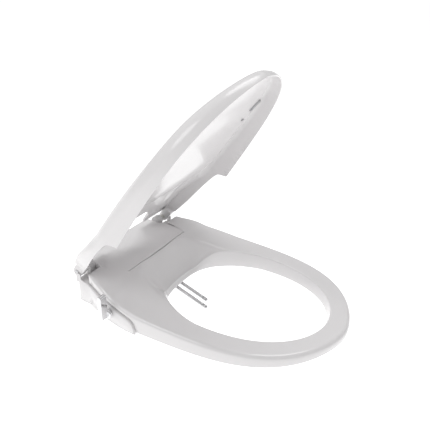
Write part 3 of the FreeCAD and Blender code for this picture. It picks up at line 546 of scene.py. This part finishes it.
def make_seat():
    """Ring and deck in one skin: outer wall, rolled edge, crowned top, rim of the opening, and underside."""
    side = outline_half(0.0, REAR_CORNER - 6)
    rear = rounded([side[-1], (REAR_HALF_WIDTH, SEAT_TAIL), (NOTCH_REAR_HALF, SEAT_TAIL),
                    (NOTCH_FRONT_HALF, NOTCH_FRONT), (0, NOTCH_FRONT)], (7.5, 2.5, 5.0))
    half = np.vstack((side, rear[1:]))
    at_side = np.arange(len(half)) < len(side)
    edge = mirrored(half)
    radius = softened(mirrored_values(np.where(at_side, SEAT_EDGE, NOTCH_EDGE)), 5)
    wide_edge = radius > SIDE_EDGE_MIN
    out = outward(edge)
    arch = np.where(edge[:, 1] > ARCH_START, ARCH(edge[:, 1]) + ARCH_GAP, SEAT_BASE)
    low = np.maximum(arch, mirrored_values(np.where(at_side, 0.0, NOTCH_LOW)))
    hole = mirrored(matched(half, hole_half(), FACING))
    out_hole = outward(hole)
    outer_top = edge - out * radius[:, None]
    inner_top = hole + out_hole * (RIM_EDGE + RIM_LEAN)
    rings = []
    top = seat_height(outer_top)
    wall_top = top - radius
    for share in (0.0, 0.25, 0.5, 0.75):
        lean = SIDE_LEAN * (1 - share) ** 2 * wide_edge
        rings.append(with_height(edge - out * lean[:, None], low + (wall_top - low) * share))
    for angle in quarter(6):
        rings.append(with_height(edge - out * (radius * (1 - math.cos(angle)))[:, None],
                                 top - radius * (1 - math.sin(angle))))
    for step in range(1, CROWN_STEPS):
        plan = outer_top + (inner_top - outer_top) * (step / CROWN_STEPS)
        rings.append(with_height(plan, seat_height(plan)))
    brim = seat_height(inner_top)
    foot = np.full(len(edge), SEAT_BASE + FOOT_LIFT)
    for angle in reversed(quarter(4)):
        plan = hole + out_hole * (RIM_LEAN + RIM_EDGE * (1 - math.cos(angle)))
        rings.append(with_height(plan, brim - RIM_EDGE * (1 - math.sin(angle))))
    wall_low = brim - RIM_EDGE
    for share in (0.25, 0.5, 0.75, 0.9):
        plan = hole + out_hole * (RIM_LEAN - 2 * RIM_LEAN * math.sin(0.5 * math.pi * share))
        rings.append(with_height(plan, wall_low + (foot - wall_low) * share))
    rings.append(with_height(hole - out_hole * RIM_LEAN, foot))
    rings.append(with_height(hole + out_hole * (SHELL_WALL - RIM_LEAN), foot))
    inner_high = hole + out_hole * (SHELL_WALL + RIM_LEAN)
    rings.append(with_height(inner_high, np.maximum(seat_height(inner_high) - SHELL_WALL, foot + 0.2)))
    outer_high = edge - out * SHELL_WALL
    for share in (0.2, 0.4, 0.6, 0.8, 1.0):
        plan = inner_high + (outer_high - inner_high) * share
        above = seat_height(plan)
        ceiling = above - SHELL_WALL - wide_edge * share ** 4 * CEILING_SINK
        rings.append(with_height(plan, np.minimum(np.maximum(ceiling, low + 0.2), above - CEILING_GAP)))
    rings.append(with_height(outer_high, low))
    finish_mesh("seat_ring", skin(rings), SEAT_PLASTIC, "seat", ("seat_shell",), sharp=50)


# ---------------------------------------------------------------- lid

# side views of the closed lid, as (y, z) or (y, size): its top, how far its sides lie below its middle, the
# radius of its edge, the face of its lining, and the lower edge of its skirt
LID_TOP = smooth_line([(-490, 22), (-470, 27), (-400, 44), (-300, 55), (-220, 62), (-140, 67), (-71, 71),
                       (0, 75.5), (60, 76)])
LID_DROP = smooth_line([(-490, 1), (-460, 2), (-400, 8), (-300, 13), (-250, 14), (-110, 14), (-64, 9),
                        (0, 0.5), (60, 0.2)], level=True)
LID_SHOULDER = smooth_line([(-490, 16), (-430, 20), (-360, 25), (-110, 25), (-64, 13), (-15, 4), (60, 3)],
                           level=True)
PANEL_UNDER = smooth_line([(-490, 19), (-425, 24), (-382, 28.4), (-354, 32), (-306, 35.5), (-247, 40.9),
                           (-163, 46), (-105, 55.5), (-62, 63.6), (10, 69.0), (27, 73.0), (60, 73.4)])
SKIRT_LOW = smooth_line([(-136, 5), (-131, 14), (-124, 23.6), (-104, 30.2), (-62, 37.1), (-20, 42), (13, 48),
                         (23, 52), (60, 52)], level=True)
SKIRT_START, SKIRT_INNER, SKIRT_RISE, SKIRT_SLOPE = -137.0, 0.2, 5.6, 15.4
PANEL_STEP, PANEL_EDGE, PANEL_REAR = 2.4, 2.0, -101.0
LID_SIDE_HALF, LID_REAR_EDGE, LID_REAR_LOW, LID_WIDEST_EDGE = 145.0, 2.2, 69.5, 25.0
LID_MIN_SIDE, LID_MIN_WALL, LID_LIP = 1.5, 1.2, 0.6


def lid_height(plan):
    """Upper surface of the closed lid before its edge is rolled down."""
    x, y = np.abs(plan[:, 0]), plan[:, 1]
    across = np.clip(x / (outline_half_width(np.minimum(y, 5)) + LID_OVERHANG), 0, 1)
    return LID_TOP(y) - LID_DROP(y) * across ** 3


def make_lid_shell():
    """Domed skin with a skirt round its front and sides, and a notch over the rear cover."""
    side = outline_half(LID_OVERHANG, REAR_CORNER - 2)
    rear = rounded([side[-1], (155.0, 16), (146.0, LID_REAR), (LID_NOTCH_HALF + 4, LID_REAR),
                    (LID_NOTCH_HALF, -8), (LID_NOTCH_HALF - 18, LID_NOTCH), (0, LID_NOTCH)],
                   (4.0, 5.0, 4.0, 24.0, 16.0))
    half = np.vstack((side, rear[1:]))
    loop = mirrored(half)
    at_side = mirrored_values((half[:, 0] > LID_SIDE_HALF) | (np.arange(len(half)) < len(side))).astype(float)
    y = loop[:, 1]
    radius = softened(np.where(at_side > 0, LID_SHOULDER(y), LID_REAR_EDGE), 4)
    skirt_low = np.where(y > SKIRT_START, SKIRT_LOW(y), LID_EDGE)
    rear_low = np.where(np.abs(loop[:, 0]) > EAR_INNER + 1, SKIRT_LOW(y), LID_REAR_LOW)
    low = np.where(at_side > 0, skirt_low, rear_low)

    def outside(plan, away, place):
        reach = along_loop(radius, place)
        height = lid_height(plan)
        rise = np.minimum(reach * 0.9, height - along_loop(low, place) - LID_MIN_SIDE)
        return height - rolled(away, reach) / reach * rise

    def inside(plan, away, place):
        edge = along_loop(low, place)
        top = outside(plan, away, place)
        under = np.minimum(PANEL_UNDER(plan[:, 1]) + PANEL_STEP, top - LID_WALL)
        lip = edge + LID_LIP * np.clip(1 - away / LID_LIP, 0, 1) + 0.4 * smooth_step(away, 2.0, LID_WALL)
        wall = lip + (np.maximum(under, lip) - lip) * smooth_step(away, SKIRT_INNER, SKIRT_RISE)
        flat = np.minimum(np.maximum(under, edge), top - LID_MIN_WALL)
        skirted = np.where(away < LID_WALL, lip, wall)
        return np.where(along_loop(at_side, place) > 0.5, skirted, flat)

    depths = [LID_LIP, 1.6, LID_WALL, LID_WALL + 0.6, 4.2, SKIRT_RISE, SKIRT_SLOPE - 0.5, SKIRT_SLOPE + 1.0]
    bm = slab(loop, sorted(depths + depths_of(LID_WIDEST_EDGE, 10)), 7.0, outside, inside, LID_TURN)
    finish_mesh("lid_cover", bm, LID_PLASTIC, "lid", ("lid_shell",), sharp=42)


def make_lid_panel():
    """Sheet inside the skirt, that stands a little proud with a rounded edge and ends before the hinge."""
    side = outline_half(LID_OVERHANG - SKIRT_SLOPE, PANEL_REAR - 60)
    rear = rounded([side[-1], (163.0, PANEL_REAR - 12), (0, PANEL_REAR)], (24.0,))
    loop = mirrored(np.vstack((side, rear[1:])))

    def back_face(plan, away, place):
        return PANEL_UNDER(plan[:, 1]) + PANEL_STEP + 0.3

    def front_face(plan, away, place):
        return PANEL_UNDER(plan[:, 1]) + rolled(away, PANEL_EDGE)

    bm = slab(loop, depths_of(PANEL_EDGE, 4), 8.0, back_face, front_face, LID_TURN)
    finish_mesh("lid_lining", bm, LID_PLASTIC, "lid", ("lid_inner_panel",), sharp=50)


def side_block(name, outline, inner, outer, material, body, bevel, turn=None, replaced=()):
    """Piece with an outline in the side view, given a width across X and rounded edges."""
    bm = bmesh.new()
    rows = []
    for x in (inner, outer):
        corners = [Vector((x, y, z)) for y, z in outline]
        rows.append([bm.verts.new(turn @ c if turn is not None else c) for c in corners])
    bm.faces.new(rows[0])
    bm.faces.new(rows[1])
    for k in range(len(outline)):
        n = (k + 1) % len(outline)
        bm.faces.new((rows[0][k], rows[0][n], rows[1][n], rows[1][k]))
    return add_bevel(finish_mesh(name, bm, material, body, replaced), bevel, 3, 40)


def make_lid_arms():
    """Cheeks of the lid beside the hinge, that carry the bushes."""
    line = rounded([(22, 71), (14, 71), (13, 49), (40, 51.4), (48.2, 56), (46, 72.2), (30, 72.2), (22, 71)],
                   (2.0, 3.0, 6.0, 6.0, 9.0, 6.0), 3.0)[:-1]
    for name, side in SIDES:
        side_block("lid_arm_" + name, line, side * (EAR_INNER + 0.2), side * EAR_OUTER, LID_PLASTIC, "lid",
                   0.8, LID_TURN)


# the long pads and the pegs beside them: x, y, half the straight run, half the width
LID_PADS = ((143.0, -338.0, 10.0, 5.5), (135.0, -300.0, 0.5, 2.6))
PAD_LEAN, PAD_SUNK, PAD_PROUD, PAD_EDGE = math.radians(22), 0.4, 3.2, 1.6


def make_lid_pads():
    """Long soft pads that keep the closed lid off the seat, each with a small peg beside it."""
    def back_face(plan, away, place):
        return PANEL_UNDER(plan[:, 1]) + PAD_SUNK

    def front_face(plan, away, place):
        return PANEL_UNDER(plan[:, 1]) - PAD_PROUD + rolled(away, PAD_EDGE)

    bm = bmesh.new()
    turn = np.linspace(0, 2 * math.pi, 41)[:-1]
    for _, side in SIDES:
        lean = PAD_LEAN * side
        spin = np.array([[math.cos(lean), -math.sin(lean)], [math.sin(lean), math.cos(lean)]])
        for x, y, long, wide in LID_PADS:
            local = np.column_stack((wide * np.cos(turn), wide * np.sin(turn) + long * np.sign(np.sin(turn))))
            loop = local @ spin.T + (side * x, y)
            merge(bm, slab(loop, depths_of(PAD_EDGE, 4), 3.0, back_face, front_face, LID_TURN))
    finish_mesh("lid_pads", bm, BUMPER_RUBBER, "lid", ("lid_bumpers",), sharp=50)


make_seat()
make_lid_shell()
make_lid_panel()
make_lid_arms()
make_lid_pads()

# ---------------------------------------------------------------- cover and side housings

COVER_TOP, COVER_LOW, COVER_EDGE, COVER_CROWN = 64.6, 52.2, 2.6, 0.00006
HOUSING_TIP, HOUSING_PROUD, HOUSING_EDGE, HOUSING_FOOT_EDGE = -129.5, 3.6, 2.4, 0.6
BOSS_INNER, BOSS_OUTER = 151.8, 154.5


def make_cover():
    """Flat lid of the base unit, that fills the notch of the seat."""
    half = rounded([(0, -48.5), (104.5, -48.4), (111.4, 13), (111.2, 19.8), (107.5, 20.4), (107.5, 62.8),
                    (0, 63.0)], (8.0, 3.0, 2.0, 1.5, 6.0))
    loop = mirrored(half)

    def upper(plan, away, place):
        return COVER_TOP - COVER_CROWN * plan[:, 0] ** 2 - rolled(away, COVER_EDGE)

    def lower(plan, away, place):
        return np.full(len(plan), COVER_LOW)

    bm = slab(loop, depths_of(COVER_EDGE, 5), 9.0, upper, lower)
    finish_mesh("rear_cover", bm, COVER_PLASTIC, "base", ("top_cover",), sharp=50)


def make_housings():
    """Side housings of the base unit, that rise to the arch of the seat, with the hinge's outer bosses."""
    top = smooth_line([(-131, 4), (-122, 23), (-104, 29), (-62, 36), (-20, 41), (9, 45), (14, 47),
                       (60, 47.6)], level=True)
    outer_y = np.arange(HOUSING_TIP, 5.1, 4.0)
    outer = np.column_stack((outline_half_width(outer_y) + HOUSING_PROUD, outer_y))
    tail = rounded([outer[-1], (154.9, 12), (153.0, 38), (124.2, 38), (124.2, 22), (103.8, 22),
                    (103.8, -42), (150, -90), (outer[0][0] - 8, HOUSING_TIP), outer[0]],
                   (6.0, 10.0, 1.5, 1.5, 1.5, 6.0, 40.0, 2.0))
    line = np.vstack((outer, tail[1:-1]))
    boss = rounded([(20, 44), (14, 44), (14, 46.5), (25.5, 50.5), (26, 62.3), (37, 62.3), (37, 44),
                    (20, 44)], (0.8, 1.0, 1.0, 5.0, 5.0, 1.0), 1.0)[:-1]

    def upper(plan, away, place):
        return top(plan[:, 1]) - rolled(away, HOUSING_EDGE)

    def lower(plan, away, place):
        return HOUSING_FOOT_EDGE * np.clip(1 - away / HOUSING_FOOT_EDGE, 0, 1)

    for name, side in SIDES:
        loop = line if side > 0 else line[::-1] * (-1, 1)
        bm = slab(loop, [HOUSING_FOOT_EDGE] + depths_of(HOUSING_EDGE, 5), 8.0, upper, lower)
        finish_mesh(name + "_housing", bm, HOUSING_PLASTIC, "base",
                    (name + "_side_housing",), sharp=50)
        side_block(name + "_hinge_boss", boss, side * BOSS_INNER, side * BOSS_OUTER, HOUSING_PLASTIC,
                   "base", 0.9)


make_cover()
make_housings()

# ---------------------------------------------------------------- lever, nozzles and inlet


def lathe(profile, origin, along, steps=48):
    """bmesh turned about an axis; the profile holds (radius, distance along) pairs."""
    along = Vector(along).normalized()
    across = along.orthogonal().normalized()
    other = along.cross(across)
    bm = bmesh.new()
    rows = []
    for radius, distance in profile:
        centre = Vector(origin) + along * distance
        if radius < 1e-6:
            rows.append([bm.verts.new(centre)] * steps)
            continue
        row = []
        for step in range(steps):
            angle = 2 * math.pi * step / steps
            row.append(bm.verts.new(centre + (across * math.cos(angle) + other * math.sin(angle)) * radius))
        rows.append(row)
    for low, high in zip(rows, rows[1:]):
        for k in range(steps):
            n = (k + 1) % steps
            corners = []
            for vert in (low[k], low[n], high[n], high[k]):
                if vert not in corners:
                    corners.append(vert)
            if len(corners) > 2:
                bm.faces.new(corners)
    return bm


HUB_INNER, HUB_OUTER, HUB_RADIUS, HUB_BORE = -181.5, -188.0, 10.0, 4.2
LEVER_OUTER, LEVER_LOW, LEVER_HIGH, LEVER_HALF, LEVER_ROUND = -204.0, 16.0, 69.0, 4.5, 1.6


def make_lever():
    """Turned hub with a groove near its foot, and the upright blade on its face."""
    deep, r = HUB_INNER - HUB_OUTER, HUB_RADIUS
    profile = [(HUB_BORE, 0), (r - 0.8, 0), (r - 0.1, 0.6), (r, 1.6), (r - 0.5, 2.0), (r - 0.5, 2.7),
               (r, 3.1), (r - 0.1, deep - 1.4), (r - 0.6, deep - 0.5), (r - 1.6, deep), (0, deep)]
    bm = lathe(profile, (HUB_INNER, -KNOB_BACK, KNOB_HEIGHT), (-1, 0, 0))
    finish_mesh("lever_boss", bm, LEVER_CHROME, "lever", ("lever_hub",), sharp=40)
    y, half = -KNOB_BACK, LEVER_HALF
    corners = [(y, LEVER_LOW), (y + half, LEVER_LOW), (y + half, LEVER_HIGH), (y - half, LEVER_HIGH),
               (y - half, LEVER_LOW), (y, LEVER_LOW)]
    line = rounded(corners, [half - 0.05] * 4, 3.0)[:-1]
    side_block("lever_blade", line, HUB_OUTER, LEVER_OUTER, LEVER_CHROME, "lever",
               LEVER_ROUND, None, ("lever_bar",))


NOZZLE_TILT, NOZZLE_EXIT, NOZZLE_DROP = math.radians(19), 100.0, 5.0
NOZZLE_LENGTH, NOZZLE_RADIUS, NOZZLE_WALL, NOZZLE_TIP, SPIGOT_DEEP, JET_BACK = 125.0, 4.0, 1.0, 9.0, 4.5, 4.2
# name, x, and the distance from the exit point to the end of the tip at rest
NOZZLES = (("rear", -9.0, 80.0), ("front", 9.0, 68.5))


def make_nozzles():
    """Steel tubes with a grooved collar, and their domed tips with a raised jet on top."""
    forward = Vector((0, -math.cos(NOZZLE_TILT), -math.sin(NOZZLE_TILT)))
    upward = Vector((0, -math.sin(NOZZLE_TILT), math.cos(NOZZLE_TILT)))
    long, r = NOZZLE_LENGTH - NOZZLE_TIP, NOZZLE_RADIUS
    bore = r - NOZZLE_WALL
    tip = [(bore, -SPIGOT_DEEP), (bore, 0.0), (r - 0.25, 0.0), (r, 0.3), (r, 5.6), (r - 0.3, 7.0),
           (r - 1.0, 8.1), (r - 2.1, 8.8), (0, NOZZLE_TIP)]
    jet = [(0.5, -0.5), (0.55, 0.45), (0.75, 0.5), (1.05, 0.3), (1.1, -0.4)]
    tube = [(bore, -long), (r - 0.2, -long), (r, -long + 0.4), (r, -6.0), (r - 0.2, -5.8), (r - 0.2, -5.2),
            (r, -5.0), (r, -0.5), (r - 0.25, -0.12), (bore, -0.1), (bore, -long)]
    for name, x, reach in NOZZLES:
        body = name + "_nozzle"
        shoulder = Vector((x, -NOZZLE_EXIT, -NOZZLE_DROP)) + forward * (reach - NOZZLE_TIP)
        bm = lathe(tip, shoulder, forward)
        merge(bm, lathe(jet, shoulder + forward * JET_BACK + upward * (r - 0.25), upward, 20))
        finish_mesh(name + "_spray_tip", bm, NOZZLE_STEEL, body, (name + "_wash_tip",), 40)
        bm = lathe(tube, shoulder, forward)
        finish_mesh(name + "_spray_tube", bm, NOZZLE_STEEL, body, (name + "_wash_tube",), 40)


INLET_SIDE, INLET_HEIGHT, INLET_RADIUS, INLET_LENGTH, INLET_START = -88.0, 22.0, 10.3, 12.0, 60.3
INLET_STUB, INLET_BORE, STUB_DEEP, THREAD_DEEP, THREAD_PITCH, THREAD_START = 7.8, 5.1, 6.0, 0.9, 1.5, 1.6


def make_inlet():
    """Hose connection with its thread cut as rings, a flat face and a bore."""
    crest, root = INLET_RADIUS, INLET_RADIUS - THREAD_DEEP
    profile = [(INLET_BORE, -STUB_DEEP), (INLET_STUB, -STUB_DEEP), (INLET_STUB, 0.1), (crest - 0.4, 0.1),
               (crest, 0.5)]
    place = THREAD_START
    while place + THREAD_PITCH < INLET_LENGTH - 1.0:
        profile += [(crest, place), (root, place + 0.45), (root, place + 0.75), (crest, place + 1.2)]
        place += THREAD_PITCH
    profile += [(root + 0.3, INLET_LENGTH - 0.4), (root, INLET_LENGTH), (INLET_BORE + 0.6, INLET_LENGTH),
                (INLET_BORE, INLET_LENGTH - 0.6), (INLET_BORE, -STUB_DEEP)]
    bm = lathe(profile, (INLET_SIDE, INLET_START, INLET_HEIGHT), (0, 1, 0), 64)
    finish_mesh("inlet_thread", bm, BRASS, "base", ("inlet_fitting",), sharp=30)


make_lever()
make_nozzles()
make_inlet()

# ---------------------------------------------------------------- CAD nodes that show as they are

NODE_FINISH = {
    "seat_bottom_plate": INNER_PLASTIC, "seat_bumpers": BUMPER_RUBBER,
    "mounting_plate": BASE_PLASTIC, "chassis": BASE_PLASTIC,
    "hinge_bracket_right": BASE_PLASTIC, "hinge_bracket_left": BASE_PLASTIC,
    "lid_damper_right": DAMPER_PLASTIC, "lid_damper_left": DAMPER_PLASTIC,
    "hinge_pin_right": PIN_STEEL, "hinge_pin_left": PIN_STEEL, "base_feet": BUMPER_RUBBER,
    "seat_hinge_bush_right": BUSH_PLASTIC, "seat_hinge_bush_left": BUSH_PLASTIC,
    "lid_hinge_bush_right": BUSH_PLASTIC, "lid_hinge_bush_left": BUSH_PLASTIC,
    "valve_body": BRASS, "spindle": PIN_STEEL, "spindle_seal": SEAL_RUBBER,
    "nozzle_guide": INNER_PLASTIC, "inlet_filter": SEAL_RUBBER,
}
NODE_BEVEL = {"chassis": 0.9, "mounting_plate": 0.6, "hinge_bracket_right": 0.8, "hinge_bracket_left": 0.8,
              "nozzle_guide": 1.2, "base_feet": 0.6, "seat_bumpers": 0.6}
SMALL_BEVEL, WELD_GAP = 0.5, 0.02
for node_name, finish in NODE_FINISH.items():
    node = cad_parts[node_name]
    node.data.materials.clear()
    node.data.materials.append(finish)
    weld = node.modifiers.new("joined_points", "WELD")
    weld.merge_threshold = WELD_GAP * MM
    add_bevel(node, NODE_BEVEL.get(node_name, SMALL_BEVEL), 2, 40)

# ---------------------------------------------------------------- studio, in metres

FLOOR_DROP, FLOOR_HALF, FLOOR_CELLS = 0.3, 40.0, 24
WORLD_LIGHT = 0.5
# name, place, the point it shines at, size, power in watts
LAMPS = (("key", (-1.5, 0.9, 2.0), (0, -0.2, 0.1), 1.4, 14),
         ("top", (1.0, 0.0, 2.4), (0, -0.3, 0.0), 1.6, 20))


def make_stage():
    """Wide pale floor well below the object, so that the shadow on it is soft."""
    bm = bmesh.new()
    bmesh.ops.create_grid(bm, x_segments=FLOOR_CELLS, y_segments=FLOOR_CELLS, size=FLOOR_HALF)
    mesh = bpy.data.meshes.new("studio_floor")
    bm.to_mesh(mesh)
    bm.free()
    mesh.materials.append(paper_floor())
    floor = bpy.data.objects.new("studio_floor", mesh)
    floor.location.z = cad_box[0].z - FLOOR_DROP
    bpy.context.scene.collection.objects.link(floor)


def area_light(name, place, aim, size, power):
    """Round lamp turned to face a point."""
    lamp = bpy.data.lights.new(name, "AREA")
    lamp.shape = "DISK"
    lamp.size = size
    lamp.energy = power
    lamp_object = bpy.data.objects.new(name, lamp)
    lamp_object.location = place
    direction = Vector(aim) - Vector(place)
    lamp_object.rotation_mode = "QUATERNION"
    lamp_object.rotation_quaternion = direction.to_track_quat("-Z", "Y")
    bpy.context.scene.collection.objects.link(lamp_object)


def make_lights():
    world = bpy.data.worlds.new("studio")
    world.use_nodes = True
    sky = world.node_tree.nodes["Background"]
    sky.inputs["Color"].default_value = (1, 1, 1, 1)
    sky.inputs["Strength"].default_value = WORLD_LIGHT
    bpy.context.scene.world = world
    for lamp in LAMPS:
        area_light(*lamp)
    bpy.context.scene.view_settings.view_transform = "Standard"


CAMERA_AZIMUTH, CAMERA_ELEVATION, CAMERA_DISTANCE = -58.93, 26.26, 1.5
CAMERA_TARGET, CAMERA_LENS, CAMERA_SENSOR = (0.3153, 0.0011, 0.0), 48.16, 36.0


def make_camera():
    a, e = math.radians(CAMERA_AZIMUTH), math.radians(CAMERA_ELEVATION)
    back = Vector((math.sin(a) * math.cos(e), -math.cos(a) * math.cos(e), math.sin(e)))
    camera = bpy.data.cameras.new("camera")
    camera.lens = CAMERA_LENS
    camera.sensor_width = CAMERA_SENSOR
    camera_object = bpy.data.objects.new("camera", camera)
    camera_object.location = Vector(CAMERA_TARGET) + back * CAMERA_DISTANCE
    camera_object.rotation_mode = "QUATERNION"
    camera_object.rotation_quaternion = (-back).to_track_quat("-Z", "Y")
    bpy.context.scene.collection.objects.link(camera_object)
    bpy.context.scene.camera = camera_object


make_stage()
make_lights()
make_camera()

bpy.context.view_layer.update()
